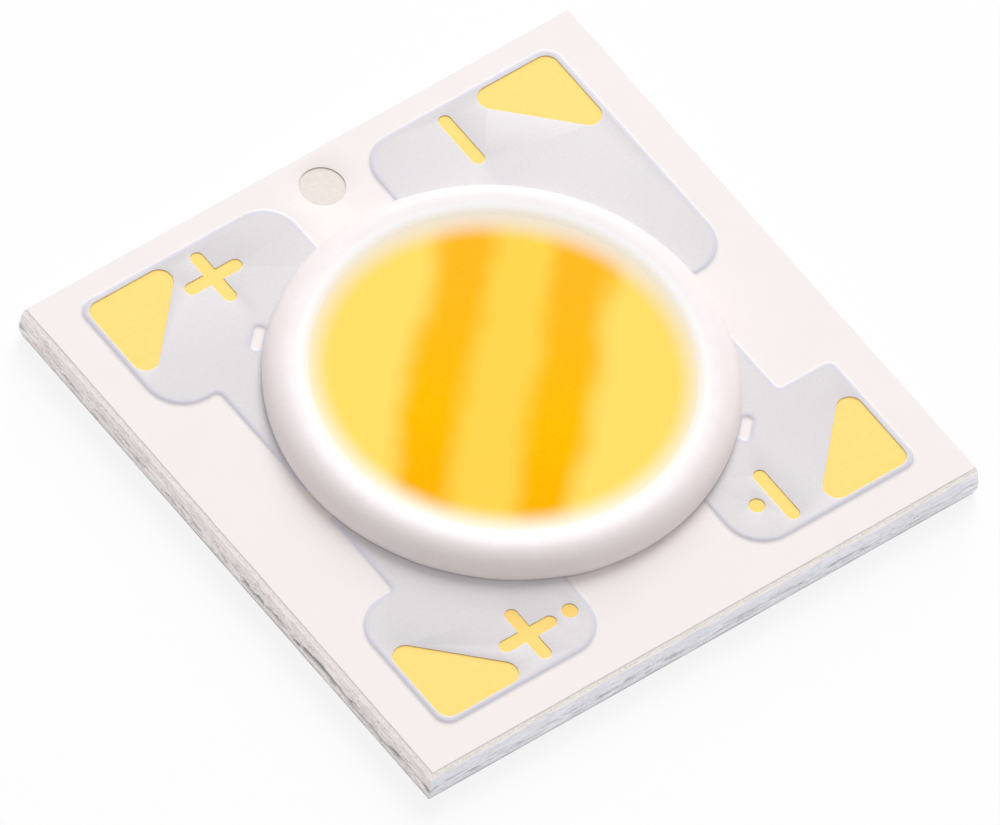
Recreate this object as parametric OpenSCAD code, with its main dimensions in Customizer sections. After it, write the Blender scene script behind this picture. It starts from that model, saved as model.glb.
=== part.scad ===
// Chip-on-board LED light source with two channels, cool and warm, on a square metal-core board.
// Millimetres. Z = 0 is the bottom face that the heatsink touches, and the origin is its middle.
// Channel 1 is the cool one and channel 2, marked with dots, is the warm one.

/* [Board] */
// Side of the square board, across the widest part of its broken edges
board_side = 15.85; // [15.5:0.05:20]
// Thickness of the aluminium base
base_t = 0.86; // [0.6:0.02:2]
// Thickness of the insulating dielectric layer on the aluminium
dielectric_t = 0.10; // [0.06:0.01:0.2]
// Thickness of the copper traces
copper_t = 0.05; // [0.03:0.005:0.1]
// Thickness of the white solder mask
mask_t = 0.04; // [0.02:0.005:0.08]
// How far the top score groove takes each edge in at the top face
score_inset = 0.08; // [0.02:0.01:0.15]
// Depth of the top score groove
score_depth = 0.30; // [0.2:0.01:0.35]
// How far the bottom score groove takes each edge in at the bottom face
back_score_inset = 0.06; // [0.02:0.01:0.15]
// Depth of the bottom score groove
back_score_depth = 0.22; // [0.1:0.01:0.24]

/* [Traces] */
// Bare border between the traces and the left and right edges
trace_margin_x = 1.04; // [0.5:0.01:1.2]
// Bare border between the traces and the top and bottom edges
trace_margin_y = 0.80; // [0.5:0.01:0.9]
// How far the printed pattern sits off the board's middle, in Y
pattern_shift_y = 0.12; // [-0.15:0.01:0.15]
// Gap between channel 1's two traces
gap_1 = 2.32; // [1:0.02:4]
// Gap between channel 2's two traces
gap_2 = 3.98; // [2:0.02:4.4]
// Corner radius of the traces at the board's corners
trace_corner_r = 0.40; // [0.1:0.05:0.6]
// Radius of channel 1's trace corners beside their gap
inner_r_1 = 0.90; // [0.2:0.05:1.2]
// Radius of channel 2's trace corners beside their gap
inner_r_2 = 1.00; // [0.2:0.05:1.2]
// Distance of the left traces' shoulders from the pattern's middle line
left_shoulder_y = 3.35; // [2.8:0.05:4]
// Radius of the left traces' shoulders, and of the upper right one
shoulder_r = 1.00; // [0.2:0.05:1.2]
// Distance of the lower right trace's shoulder from the pattern's middle line
right_shoulder_y = 3.68; // [3:0.02:4.2]
// Radius of the lower right trace's shoulder
right_shoulder_r = 0.20; // [0.1:0.05:0.8]
// Radius where a shoulder turns into the narrow lead beside the dam
lead_fillet_r = 0.15; // [0.05:0.01:0.3]
// Distance of the left leads' straight edge from the board's middle
left_lead_x = 5.54; // [5.3:0.01:5.8]
// Distance of the lower right lead's straight edge from the board's middle
right_lead_x = 5.35; // [5.3:0.01:5.8]
// Distance of the lower left lead's end from the pattern's middle line
lower_lead_end_y = 0.90; // [0.5:0.05:2]
// Height where the lower right trace's narrow lead ends
right_lead_end_y = 0.60; // [0.5:0.05:2]
// How far the mask's raised area reaches past the copper under it
mask_overlap = 0.04; // [0.01:0.01:0.08]

/* [Alignment slots] */
// Length of the slots in the copper that the dam is lined up on
slot_l = 0.66; // [0.4:0.02:1]
// Width of the alignment slots
slot_w = 0.24; // [0.16:0.01:0.4]
// Distance of the alignment slots from the board's middle
slot_at_r = 5.72; // [5.7:0.01:6]
// Angle of the upper left alignment slot
slot_angle_left = 132.5; // [120:0.5:150]
// Angle of the lower right alignment slot
slot_angle_right = 315; // [305:0.5:330]

/* [Solder pads and marks] */
// Overall leg length of the three-cornered solder pads
pad_leg = 2.27; // [1.5:0.01:2.6]
// Corner radius of the solder pads
pad_r = 0.33; // [0.1:0.01:0.5]
// Mask border between a solder pad and its trace's outer edges
pad_inset = 0.145; // [0.08:0.005:0.3]
// Thickness of the nickel and gold plating on the pads and marks
plating_t = 0.01; // [0.005:0.005:0.02]
// Length of the plus and minus marks' bars
mark_l = 1.60; // [1:0.02:2]
// Width of the plus and minus marks' bars
mark_w = 0.34; // [0.2:0.01:0.5]
// Distance of the plus marks from their trace's outer side
plus_from_side = 3.20; // [3:0.02:3.6]
// Distance of the minus marks from their trace's outer side
minus_from_side = 3.39; // [3:0.02:3.8]
// Distance of all the marks from their trace's top or bottom edge
mark_from_edge = 1.065; // [0.9:0.005:1.2]
// Diameter of the dots beside channel 2's marks
dot_d = 0.40; // [0.2:0.02:0.6]
// Gap between a dot and its mark
dot_gap = 0.20; // [0.1:0.02:0.3]
// Diameter of the bare spot where the case temperature is measured
spot_d = 1.11; // [0.6:0.01:1.4]
// Distance of the bare spot from the board's top edge, before the pattern's shift
spot_from_edge = 1.145; // [1:0.005:1.3]

/* [Dam] */
// Radius of the dam's crest
dam_r = 4.98; // [4.9:0.01:5.05]
// Width of the dam's bead at its widest
dam_w = 1.14; // [1:0.01:1.2]
// Height of the dam above the bare mask
dam_h = 0.75; // [0.65:0.01:0.9]
// Radius of the dam's bulging flanks
dam_flank_r = 0.36; // [0.3:0.01:0.4]
// Height of the flanks' widest point above the mask
dam_flank_h = 0.22; // [0.15:0.01:0.25]
// How far the mask reaches in past the dam's inner wall, so the dam stands wholly on it
mask_window_in = 0.01; // [0.005:0.005:0.03]

/* [Light-emitting surface] */
// Height of the phosphor's flat middle above the bare mask
fill_h = 0.53; // [0.4:0.01:0.58]
// Width of the curved rim where the phosphor climbs the dam
meniscus_w = 0.50; // [0.2:0.02:0.8]
// Radius of that curved rim's section
meniscus_r = 2.5; // [1.5:0.1:5]
// Width of each warm strip
warm_w = 1.30; // [1:0.02:1.6]
// Angle of the rows and strips from the board's X axis
row_angle = 45; // [40:1:50]

/* [Bonding strips] */
// Inner radius of the inner ring of bonding strips
inner_bus_r = 4.02; // [4:0.01:4.04]
// Inner radius of the outer ring of bonding strips
outer_bus_r = 4.25; // [4.24:0.01:4.28]
// Width of the inner bonding strips
bus_w = 0.14; // [0.1:0.01:0.16]
// How far the outer bonding strips reach out past the dam's crest
bus_reach = 0.30; // [0.2:0.01:0.35]
// How far neighbouring parts of one trace run into each other under the dam
bus_lap = 0.10; // [0.05:0.01:0.15]
// Distance of a wire's landing from its bonding strip's inner edge
landing_in = 0.07; // [0.05:0.005:0.08]

/* [Dies and bond wires] */
// Distance between neighbouring rows of dies
row_pitch = 1.42; // [1.3:0.01:1.5]
// Dies in series in each row
dies_per_row = 12; // [6:1:12]
// Length of a die along its row
die_l = 0.28; // [0.2:0.01:0.3]
// Width of a die across its row
die_w = 0.50; // [0.3:0.01:0.6]
// Thickness of a die
die_t = 0.12; // [0.08:0.01:0.2]
// Thickness of the adhesive under each die
attach_t = 0.02; // [0.01:0.005:0.04]
// Radius of the window in the dielectric, through which the dies sit on the aluminium
window_r = 3.94; // [3.85:0.01:3.96]
// Clearance between the window's edge and the nearest dies
window_clearance = 0.04; // [0.02:0.01:0.1]
// Diameter of the bond wires
wire_d = 0.025; // [0.02:0.001:0.03]
// Height of the wires' loops
loop_h = 0.12; // [0.08:0.01:0.16]
// Diameter of the bonds at the wires' ends
bond_d = 0.08; // [0.06:0.005:0.09]
// Height of the bonds
bond_h = 0.03; // [0.02:0.005:0.04]
// Distance of a bond's middle from the die's end
bond_in = 0.06; // [0.05:0.005:0.08]

/* [Hidden] */
row_count = 5;
channels = ["1", "2"];
poles = ["plus", "minus"];
function is_warm(row) = row % 2 == 1;
function strip_name(row) = str("phosphor_", is_warm(row) ? "warm_" : "cool_", row + 1);

$fn = 96;
// Number of sides that stands for a true circle on small round pieces
fine_fn = 32;
// Spare length of the bodies that only cut or bound others
spare = 1;

// Heights of the layers
dielectric_z = base_t + dielectric_t;
copper_z = dielectric_z + copper_t;
mask_z = dielectric_z + mask_t;
raised_z = copper_z + mask_t;

// Outer corner of the traces, from the pattern's middle
trace_x = board_side / 2 - trace_margin_x;
trace_y = board_side / 2 - trace_margin_y;

// The dam's section: a crest arc that meets a bulging flank arc on each side
flank_x = dam_w / 2 - dam_flank_r;
crest_rise = dam_h - dam_flank_h;
crest_r = (crest_rise * crest_rise + flank_x * flank_x - dam_flank_r * dam_flank_r)
        / (2 * (crest_rise - dam_flank_r));
crest_z = dam_h - crest_r;
foot_half_w = flank_x + sqrt(dam_flank_r * dam_flank_r - dam_flank_h * dam_flank_h);
// The mask reaches just inside the dam's inner wall, so the dam stands wholly on the mask
mask_window_r = dam_r - dam_w / 2 - mask_window_in;
// Radius where the phosphor's flat level meets the dam
contact_r = dam_r - sqrt(crest_r * crest_r - pow(fill_h - crest_z, 2));

// Radii of the bonding strips that the traces have under the dam
bus_end_r = dam_r + bus_reach;
trace_cut_r = bus_end_r - bus_lap;
// Where wires land on the two rings of bonding strips
inner_landing_r = inner_bus_r + landing_in;
outer_landing_r = outer_bus_r + landing_in;
die_z = base_t + attach_t;
die_top_z = die_z + die_t;

function unit(v) = v / norm(v);
function row_y(row) = ((row_count - 1) / 2 - row) * row_pitch;
// Distance from a row's middle to its last die's middle, filling the window evenly
function row_reach(row) =
    sqrt(pow(window_r - window_clearance, 2) - pow(abs(row_y(row)) + die_w / 2, 2)) - die_l / 2;
function die_x(row, i) = row_reach(row) * (2 * i / (dies_per_row - 1) - 1);
// Channel 1's rows start on the inner strip and end on the outer one, channel 2's the other way
function landing_x(row, start) =
    let (r = is_warm(row) == start ? outer_landing_r : inner_landing_r)
    (start ? -1 : 1) * sqrt(r * r - pow(row_y(row), 2));

// ---- outlines -------------------------------------------------------------

// Convex outline through points, each corner rounded with its own radius
module rounded(points, radii) {
    n = len(points);
    to_last = [for (i = [0 : n - 1]) unit(points[(i + n - 1) % n] - points[i])];
    to_next = [for (i = [0 : n - 1]) unit(points[(i + 1) % n] - points[i])];
    half = [for (i = [0 : n - 1]) acos(to_last[i] * to_next[i]) / 2];
    polygon([for (i = [0 : n - 1], side = [to_last[i], to_next[i]])
        if (radii[i] > 0 || side == to_last[i]) points[i] + side * radii[i] / tan(half[i])]);
    for (i = [0 : n - 1])
        if (radii[i] > 0)
            translate(points[i] + unit(to_last[i] + to_next[i]) * radii[i] / sin(half[i]))
                circle(radii[i]);
}

module stadium(length, width) {
    square([length - width, width], center = true);
    for (side = [-1, 1])
        translate([side * (length - width) / 2, 0]) circle(d = width);
}

// Part of a flat ring between two radii and two angles
module ring_sector(r_in, r_out, from, to) {
    steps = 4;
    difference() {
        intersection() {
            circle(r_out);
            polygon(concat([[0, 0]], [for (i = [0 : steps])
                let (a = from + (to - from) * i / steps) 1.5 * r_out * [cos(a), sin(a)]]));
        }
        circle(r_in);
    }
}

// Places a child drawn for the upper right quarter in a trace's own quarter
module quarter(channel, pole) {
    translate([0, pattern_shift_y])
        mirror([pole == "plus" ? 1 : 0, 0]) mirror([0, channel == "2" ? 1 : 0]) children();
}

// The wide part of a trace: a plate, its shoulder and the narrow lead beside the dam
module trace_plate(gap, gap_r, shoulder_y, side_r, lead_x, lead_end_y, grow) {
    x0 = gap / 2 - grow;
    x1 = trace_x + grow;
    y0 = shoulder_y - grow;
    y1 = trace_y + grow;
    rounded([[x0, y0], [x1, y0], [x1, y1], [x0, y1]],
            [0, side_r + grow, trace_corner_r + grow, gap_r + grow]);
    if (lead_x > 0) {
        fillet = lead_fillet_r - grow;
        edge_x = lead_x + grow;
        translate([x0, lead_end_y - grow]) square([edge_x - x0, y0 - lead_end_y + 2 * grow]);
        difference() {
            translate([edge_x, y0 - fillet]) square(fillet);
            translate([edge_x + fillet, y0 - fillet]) circle(fillet);
        }
    }
}

module alignment_slot(angle, grow) {
    rotate(angle) translate([slot_at_r, 0])
        rotate(90) stadium(slot_l - 2 * grow, slot_w - 2 * grow);
}

// Bonding strips hidden under and inside the dam, as [inner radius, outer radius, from, to]
function bus_strips(channel, pole) =
    channel == "1" && pole == "plus" ? [
        [outer_bus_r, bus_end_r, 101, 184],
        [inner_bus_r, outer_bus_r + bus_lap, 178, 183.5],
        [inner_bus_r, inner_bus_r + bus_w, 178, 269]] :
    channel == "1" ? [
        [outer_bus_r, bus_end_r, 0.5, 86]] :
    pole == "plus" ? [
        [outer_bus_r, bus_end_r, 188.5, 249]] : [
        [outer_bus_r, bus_end_r, 291.5, 356],
        [inner_bus_r, outer_bus_r + bus_lap, 350, 355.5],
        [inner_bus_r, inner_bus_r + bus_w, 350, 427]];

// A trace's whole outline; grow widens it all round for the mask that covers it
module trace_outline(channel, pole, grow = 0) {
    difference() {
        union() {
            difference() {
                quarter(channel, pole) {
                    if (channel == "1" && pole == "plus")
                        trace_plate(gap_1, inner_r_1, left_shoulder_y, shoulder_r, left_lead_x, 0, grow);
                    if (channel == "1" && pole == "minus")
                        trace_plate(gap_1, inner_r_1, 0, shoulder_r, 0, 0, grow);
                    if (channel == "2" && pole == "plus")
                        trace_plate(gap_2, inner_r_2, left_shoulder_y, shoulder_r,
                                    left_lead_x, lower_lead_end_y, grow);
                    if (channel == "2" && pole == "minus")
                        trace_plate(gap_2, inner_r_2, right_shoulder_y, right_shoulder_r,
                                    right_lead_x, right_lead_end_y, grow);
                }
                circle(trace_cut_r - grow);
            }
            for (strip = bus_strips(channel, pole)) {
                side = asin(grow / strip[0]);
                ring_sector(strip[0] - grow, strip[1] + grow, strip[2] - side, strip[3] + side);
            }
        }
        if (channel == "1" && pole == "plus") alignment_slot(slot_angle_left, grow);
        if (channel == "2" && pole == "minus") alignment_slot(slot_angle_right, grow);
    }
}

module pad_outline(channel, pole) {
    x = trace_x - pad_inset;
    y = trace_y - pad_inset;
    leg = pad_leg + (1 / tan(22.5) - 1) * pad_r;
    quarter(channel, pole)
        rounded([[x, y], [x - leg, y], [x, y - leg]], [pad_r, pad_r, pad_r]);
}

module mark_outline(channel, pole) {
    is_plus = pole == "plus";
    half_w = (is_plus ? mark_l : mark_w) / 2;
    x = trace_x - (is_plus ? plus_from_side : minus_from_side);
    quarter(channel, pole)
        translate([x, trace_y - mark_from_edge]) {
            rotate(90) stadium(mark_l, mark_w);
            if (is_plus) stadium(mark_l, mark_w);
            if (channel == "2") translate([-half_w - dot_gap - dot_d / 2, 0]) circle(d = dot_d);
        }
}

// The dam's bead, cut by a plane through the ring's axis, with the bare mask at height 0
module dam_section() {
    lean = unit([flank_x, dam_flank_h - crest_z]);
    join = [0, crest_z] + lean * crest_r;
    translate([dam_r, 0]) {
        intersection() {
            translate([0, crest_z]) circle(crest_r);
            polygon([[-join[0], join[1]], [join[0], join[1]], [join[0], dam_h + spare],
                     [-join[0], dam_h + spare]]);
        }
        intersection() {
            union() {
                for (side = [-1, 1])
                    translate([side * flank_x, dam_flank_h]) circle(dam_flank_r);
                polygon([[-flank_x, 0], [flank_x, 0], [flank_x, dam_flank_h], join,
                         [-join[0], join[1]], [-flank_x, dam_flank_h]]);
            }
            translate([-dam_w, 0]) square([2 * dam_w, join[1]]);
        }
    }
}

// The light-emitting fill above the bare mask: flat, with a rim that climbs the dam's inner wall
module fill_section() {
    rim_x = contact_r - meniscus_w;
    outer_x = (contact_r + dam_r) / 2;
    difference() {
        union() {
            square([outer_x, fill_h]);
            difference() {
                translate([rim_x, 0]) square([outer_x - rim_x, dam_h]);
                translate([rim_x, fill_h + meniscus_r]) circle(meniscus_r);
            }
        }
        dam_section();
    }
}

// ---- board ----------------------------------------------------------------

// Cross-section of the whole board, scored from both faces and broken between
module board_section() {
    half = board_side / 2;
    polygon([
        [-half + back_score_inset, 0], [half - back_score_inset, 0], [half, back_score_depth],
        [half, mask_z - score_depth], [half - score_inset, mask_z], [-half + score_inset, mask_z],
        [-half, mask_z - score_depth], [-half, back_score_depth]]);
}

module board_slice(z0, z1) {
    intersection() {
        rotate([90, 0, 0])
            linear_extrude(board_side + spare, center = true) board_section();
        rotate([90, 0, 90])
            linear_extrude(board_side + spare, center = true) board_section();
        translate([-board_side / 2 - spare, -board_side / 2 - spare, z0])
            cube([board_side + 2 * spare, board_side + 2 * spare, z1 - z0]);
    }
}

module aluminium_base() {
    color([0.80, 0.80, 0.82]) board_slice(0, base_t);
}

// The dielectric has a round window, through which the dies sit on the bright aluminium
module dielectric_layer() {
    color([0.91, 0.89, 0.87])
        difference() {
            board_slice(base_t, dielectric_z);
            translate([0, 0, base_t - spare]) cylinder(r = window_r, h = dielectric_t + 2 * spare);
        }
}

module trace_solid(channel, pole) {
    translate([0, 0, dielectric_z]) linear_extrude(copper_t) trace_outline(channel, pole);
}

module trace(channel, pole) {
    color([0.85, 0.60, 0.42]) trace_solid(channel, pole);
}

// The parts of the mask that the copper lifts
module raised_mask_bodies() {
    for (channel = channels, pole = poles)
        translate([0, 0, dielectric_z])
            linear_extrude(raised_z - dielectric_z) trace_outline(channel, pole, mask_overlap);
}

module solder_mask() {
    color([0.96, 0.94, 0.93])
        difference() {
            union() {
                board_slice(dielectric_z, mask_z);
                raised_mask_bodies();
            }
            for (channel = channels, pole = poles) {
                trace_solid(channel, pole);
                translate([0, 0, copper_z]) linear_extrude(mask_t + spare) {
                    pad_outline(channel, pole);
                    mark_outline(channel, pole);
                }
            }
            translate([0, board_side / 2 - spot_from_edge + pattern_shift_y, dielectric_z])
                cylinder(d = spot_d, h = mask_t + spare);
            cylinder(r = mask_window_r, h = raised_z + spare);
        }
}

module pad(channel, pole) {
    color([0.96, 0.83, 0.48])
        translate([0, 0, copper_z]) linear_extrude(plating_t) pad_outline(channel, pole);
}

module mark(channel, pole) {
    color([0.96, 0.83, 0.48])
        translate([0, 0, copper_z]) linear_extrude(plating_t) mark_outline(channel, pole);
}

// ---- light source ---------------------------------------------------------

module dam_ring() {
    color([0.95, 0.93, 0.93])
        difference() {
            translate([0, 0, mask_z]) rotate_extrude() dam_section();
            raised_mask_bodies();
        }
}

// Places a child in a row's own frame: X along the row, from its plus end to its minus end
module along_row(row) {
    rotate(row_angle) translate([0, row_y(row), 0]) children();
}

module die_row_solid(row) {
    along_row(row)
        for (i = [0 : dies_per_row - 1])
            translate([die_x(row, i) - die_l / 2, -die_w / 2, die_z]) cube([die_l, die_w, die_t]);
}

module die_row(row) {
    color([0.62, 0.72, 0.80]) die_row_solid(row);
}

module die_attach_solid(row) {
    along_row(row)
        for (i = [0 : dies_per_row - 1])
            translate([die_x(row, i) - die_l / 2, -die_w / 2, base_t]) cube([die_l, die_w, attach_t]);
}

module die_attach_row(row) {
    color([0.92, 0.92, 0.90]) die_attach_solid(row);
}

// A looped wire between two surfaces in a row's frame, given as [x, z], with a bond at each end
module bond_wire(from, to) {
    chord = norm(to - from);
    bend_r = (chord * chord / 4 + loop_h * loop_h) / (2 * loop_h);
    half = 2 * atan(2 * loop_h / chord);
    tilt = atan2(to[1] - from[1], to[0] - from[0]);
    translate([from[0], 0, from[1] + bond_h]) rotate([0, -tilt, 0])
        translate([chord / 2, 0, loop_h - bend_r]) rotate([90, 0, 0]) rotate(90 - half)
            rotate_extrude(angle = 2 * half, $fn = fine_fn)
                translate([bend_r, 0]) circle(d = wire_d, $fn = fine_fn);
    for (end = [from, to])
        translate([end[0], 0, end[1]]) cylinder(d = bond_d, h = bond_h, $fn = fine_fn);
}

// One wire from the plus strip to the first die, one between each two dies, one to the minus strip
module bond_wire_solids(row) {
    pad_x = die_l / 2 - bond_in;
    last = dies_per_row - 1;
    along_row(row) {
        bond_wire([landing_x(row, true), copper_z], [die_x(row, 0) - pad_x, die_top_z]);
        for (i = [1 : last])
            bond_wire([die_x(row, i - 1) + pad_x, die_top_z], [die_x(row, i) - pad_x, die_top_z]);
        bond_wire([die_x(row, last) + pad_x, die_top_z], [landing_x(row, false), copper_z]);
    }
}

module bond_wires_row(row) {
    color([0.95, 0.80, 0.40]) bond_wire_solids(row);
}

// The whole fill: down through both windows to the aluminium, and up to the dam
module fill_body() {
    translate([0, 0, base_t]) cylinder(r = window_r, h = dielectric_t + mask_t + fill_h);
    translate([0, 0, dielectric_z]) cylinder(r = mask_window_r, h = mask_t + fill_h / 2);
    translate([0, 0, mask_z]) rotate_extrude() fill_section();
}

// Bounds of a row's strip across the rows; the outer strips reach the dam
function strip_edge(row, side) =
    is_warm(row) ? row_y(row) + side * warm_w / 2
    : row + (side < 0 ? 1 : -1) < 0 || row + (side < 0 ? 1 : -1) >= row_count ? side * dam_r
    : row_y(row - side) - side * warm_w / 2;

module phosphor_strip(row) {
    low = strip_edge(row, -1);
    high = strip_edge(row, 1);
    color(is_warm(row) ? [1.00, 0.68, 0.10] : [0.99, 0.86, 0.38])
        difference() {
            intersection() {
                fill_body();
                rotate(row_angle) translate([-dam_r, low, 0])
                    cube([2 * dam_r, high - low, mask_z + dam_h + spare]);
            }
            raised_mask_bodies();
            for (channel = channels, pole = poles) trace_solid(channel, pole);
            die_attach_solid(row);
            die_row_solid(row);
            bond_wire_solids(row);
        }
}

// ---- nodes ----------------------------------------------------------------

aluminium_base();
dielectric_layer();
solder_mask();
dam_ring();
for (channel = channels, pole = poles) {
    trace(channel, pole);
    pad(channel, pole);
    mark(channel, pole);
}
for (row = [0 : row_count - 1]) {
    die_row(row);
    die_attach_row(row);
    bond_wires_row(row);
    phosphor_strip(row);
}
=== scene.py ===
# %% [markdown]
# # A chip-on-board light source on a small square metal board
#
# The object is a 15.85 mm square of aluminium with a thin insulating layer, etched copper
# traces and a white solder mask on it. A round white silicone dam stands in the middle and
# holds two kinds of phosphor in stripes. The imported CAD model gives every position. This
# script dresses it: it keeps the CAD meshes whose shape is already right, gives them
# materials, and replaces the ones whose real surface is softer or rougher than a CAD solid.

# %% Load the fixed frame
from math import acos, atan2, cos, hypot, pi, radians, sin, sqrt

import bpy
import numpy as np
from mathutils import Matrix, Vector, noise
from mathutils.geometry import delaunay_2d_cdt


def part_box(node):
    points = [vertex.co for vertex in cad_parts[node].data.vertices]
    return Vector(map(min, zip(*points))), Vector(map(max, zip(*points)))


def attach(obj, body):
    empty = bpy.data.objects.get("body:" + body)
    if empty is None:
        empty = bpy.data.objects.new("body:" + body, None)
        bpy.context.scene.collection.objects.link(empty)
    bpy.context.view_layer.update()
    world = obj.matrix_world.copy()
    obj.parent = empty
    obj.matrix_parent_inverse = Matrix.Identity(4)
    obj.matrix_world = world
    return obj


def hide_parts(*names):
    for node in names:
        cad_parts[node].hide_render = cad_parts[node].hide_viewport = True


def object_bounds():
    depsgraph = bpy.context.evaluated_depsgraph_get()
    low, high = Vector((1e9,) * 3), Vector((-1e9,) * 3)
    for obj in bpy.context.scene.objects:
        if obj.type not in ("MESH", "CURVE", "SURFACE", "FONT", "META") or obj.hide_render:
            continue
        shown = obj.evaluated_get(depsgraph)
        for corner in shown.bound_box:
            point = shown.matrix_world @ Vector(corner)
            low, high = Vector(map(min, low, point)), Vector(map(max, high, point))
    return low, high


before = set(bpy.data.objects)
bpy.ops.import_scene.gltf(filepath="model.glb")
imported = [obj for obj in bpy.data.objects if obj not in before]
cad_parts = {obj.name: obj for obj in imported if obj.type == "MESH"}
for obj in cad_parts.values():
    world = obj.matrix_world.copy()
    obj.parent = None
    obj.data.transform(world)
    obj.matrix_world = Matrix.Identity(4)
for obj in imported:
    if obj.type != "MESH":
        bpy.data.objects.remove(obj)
cad_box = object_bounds()
print("CAD box in mm:", [round(1000 * v, 3) for corner in cad_box for v in corner])

# %% [markdown]
# ## Millimetres
#
# Blender works in metres here, and this board is thinner than a coin. The numbers are easier
# to read in millimetres, so the pieces are drawn in millimetres and scaled once, where each
# mesh is made.

# %% Helpers for units and for making a piece
MM = 0.001


def box_mm(node):
    """Lowest and highest corner of a CAD node, in millimetres."""
    low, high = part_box(node)
    return low / MM, high / MM


def smooth(low, high, x):
    """0 below low, 1 above high, and an S-shaped step between. Works on numbers and arrays."""
    t = np.clip((x - low) / (high - low), 0.0, 1.0)
    return t * t * (3 - 2 * t)


def make_piece(name, points, faces, replaces=(), masks=None, sharp_deg=None):
    """A mesh object from points in millimetres, riding on the board's one body."""
    mesh = bpy.data.meshes.new(name)
    mesh.from_pydata([tuple(MM * c for c in p) for p in points], [], faces)
    mesh.validate()
    for key, values in (masks or {}).items():
        layer = mesh.attributes.new(key, "FLOAT", "POINT")
        layer.data.foreach_set("value", np.asarray(values, np.float32))
    mesh.shade_smooth()
    if sharp_deg is not None:
        mesh.set_sharp_from_angle(angle=radians(sharp_deg))
    piece = bpy.data.objects.new(name, mesh)
    bpy.context.scene.collection.objects.link(piece)
    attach(piece, "root")
    if replaces:
        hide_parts(*replaces)
    print(f"{name}: {len(points)} points, {len(faces)} faces")
    return piece


def grain(x, y, z, scale, octaves=3):
    """Fractal noise from about -1 to 1 at a point in millimetres; scale is bumps per mm."""
    return noise.fractal(Vector((x, y, z)) * scale, 1.0, 2.0, octaves)


half_side = box_mm("aluminium_base")[1].x
base_top = box_mm("aluminium_base")[1].z
dielectric_top = box_mm("dielectric_layer")[1].z
copper_top = box_mm("trace_1_plus")[1].z
raised_top = box_mm("solder_mask")[1].z
mask_t = raised_top - copper_top
bare_top = dielectric_top + mask_t
print(f"board side {2 * half_side:.2f}, base {base_top:.2f}, bare mask {bare_top:.2f}, "
      f"mask over copper {raised_top:.2f} mm")

# %% [markdown]
# ## The camera
#
# The view is a close product view from the front left, taken from far away with a long lens,
# so that the square's parallel edges stay almost parallel. The camera turns round the board
# (azimuth), rises above it (elevation) and leans a little to one side (roll).

# %% Camera
VIEW_AZIMUTH = -43.721
VIEW_ELEVATION = 53.586
VIEW_ROLL = 8.448
VIEW_DISTANCE = 0.8
LENS_MM = 1249.116
SENSOR_MM = 36.0
AIM_RIGHT_MM = 0.067
AIM_UP_MM = 0.025

turn = (Matrix.Rotation(radians(VIEW_AZIMUTH), 4, "Z")
        @ Matrix.Rotation(radians(90 - VIEW_ELEVATION), 4, "X")
        @ Matrix.Rotation(radians(VIEW_ROLL), 4, "Z"))
aim = turn @ Vector((AIM_RIGHT_MM * MM, AIM_UP_MM * MM, VIEW_DISTANCE))
camera_data = bpy.data.cameras.new("camera")
camera_data.lens = LENS_MM
camera_data.sensor_width = SENSOR_MM
camera_data.clip_start = 0.01
camera_data.clip_end = 20.0
camera = bpy.data.objects.new("camera", camera_data)
camera.matrix_world = Matrix.Translation(aim) @ turn
bpy.context.scene.collection.objects.link(camera)
bpy.context.scene.camera = camera
print("camera at", [round(v, 3) for v in aim], "m")

# %% [markdown]
# ## Light, world and floor
#
# A white object on a white ground needs light from everywhere, as in a light tent, and one
# large soft lamp behind it that makes the faces towards the viewer a little darker than the
# top. A mirror image of that lamp would burn out the flat gold, so glossy surfaces do not see
# it, and a small low lamp behind the board draws the dam's highlight instead. The world gives
# the even light. Rays from the camera, from mirrors and through glass see the world as plain
# white. The floor's colour is almost white, so that light bounces off it as off white paper.
# For the same rays a veil of plain white lies over it, which leaves the board only a faint
# soft shadow.

# %% World, lamps and floor
AMBIENT = 0.54
TENT_COLOUR = (1.0, 0.99, 0.985, 1.0)
PLAIN_WHITE = (1.0, 1.0, 1.0, 1.0)
KEY_WATTS = 3.35
KEY_SIZE = 0.5
KEY_DISTANCE = 0.75
KEY_AZIMUTH = 132.0
KEY_ELEVATION = 50.0
RIM_WATTS = 0.9
RIM_SIZE = 0.25
RIM_AZIMUTH = 138.0
RIM_ELEVATION = 22.0
FLOOR_HALF = 2.0
FLOOR_GAP_MM = 0.01
FLOOR_WHITE = 0.94
FLOOR_VEIL = 0.80


def new_node(tree, kind, label=None, **settings):
    """Adds a shader node and sets its plain settings."""
    made = tree.nodes.new(kind)
    if label:
        made.label = label
    for key, value in settings.items():
        setattr(made, key, value)
    return made


def background_rays(tree):
    """1 for rays that look at the background: from the camera, a mirror or glass."""
    path = new_node(tree, "ShaderNodeLightPath")
    either = new_node(tree, "ShaderNodeMath", operation="MAXIMUM")
    tree.links.new(path.outputs["Is Camera Ray"], either.inputs[0])
    tree.links.new(path.outputs["Is Glossy Ray"], either.inputs[1])
    all_three = new_node(tree, "ShaderNodeMath", operation="MAXIMUM")
    tree.links.new(either.outputs[0], all_three.inputs[0])
    tree.links.new(path.outputs["Is Transmission Ray"], all_three.inputs[1])
    return all_three.outputs[0]


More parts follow.
